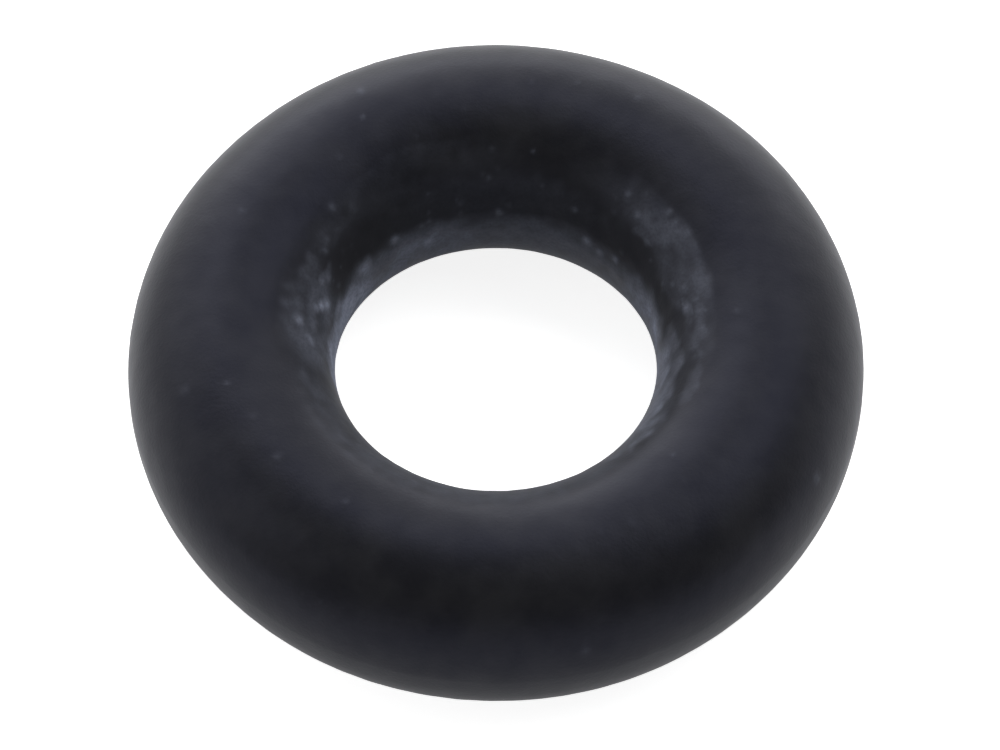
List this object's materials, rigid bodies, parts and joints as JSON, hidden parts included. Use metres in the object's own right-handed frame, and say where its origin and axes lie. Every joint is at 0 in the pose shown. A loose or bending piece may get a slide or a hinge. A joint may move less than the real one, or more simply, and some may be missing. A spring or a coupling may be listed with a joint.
{
  "type": "o-ring",
  "caption": "Small solid rubber sealing ring of thick round section, with a narrow flush land at its inner and outer equator, lying flat.",
  "frame": {"origin": "centre of the ring, on its axis and halfway up its section", "axes": "+Z along the ring's axis, upward as it lies; +X and +Y lie in the ring's plane, and all directions there are alike"},
  "size_m": [0.0064, 0.0064, 0.0018],
  "materials": {
    "rubber": "moulded black nitrile rubber, satin, dusty round the hole"
  },
  "bodies": {
    "root": {"o_ring": "rubber"}
  },
  "joints": []
}
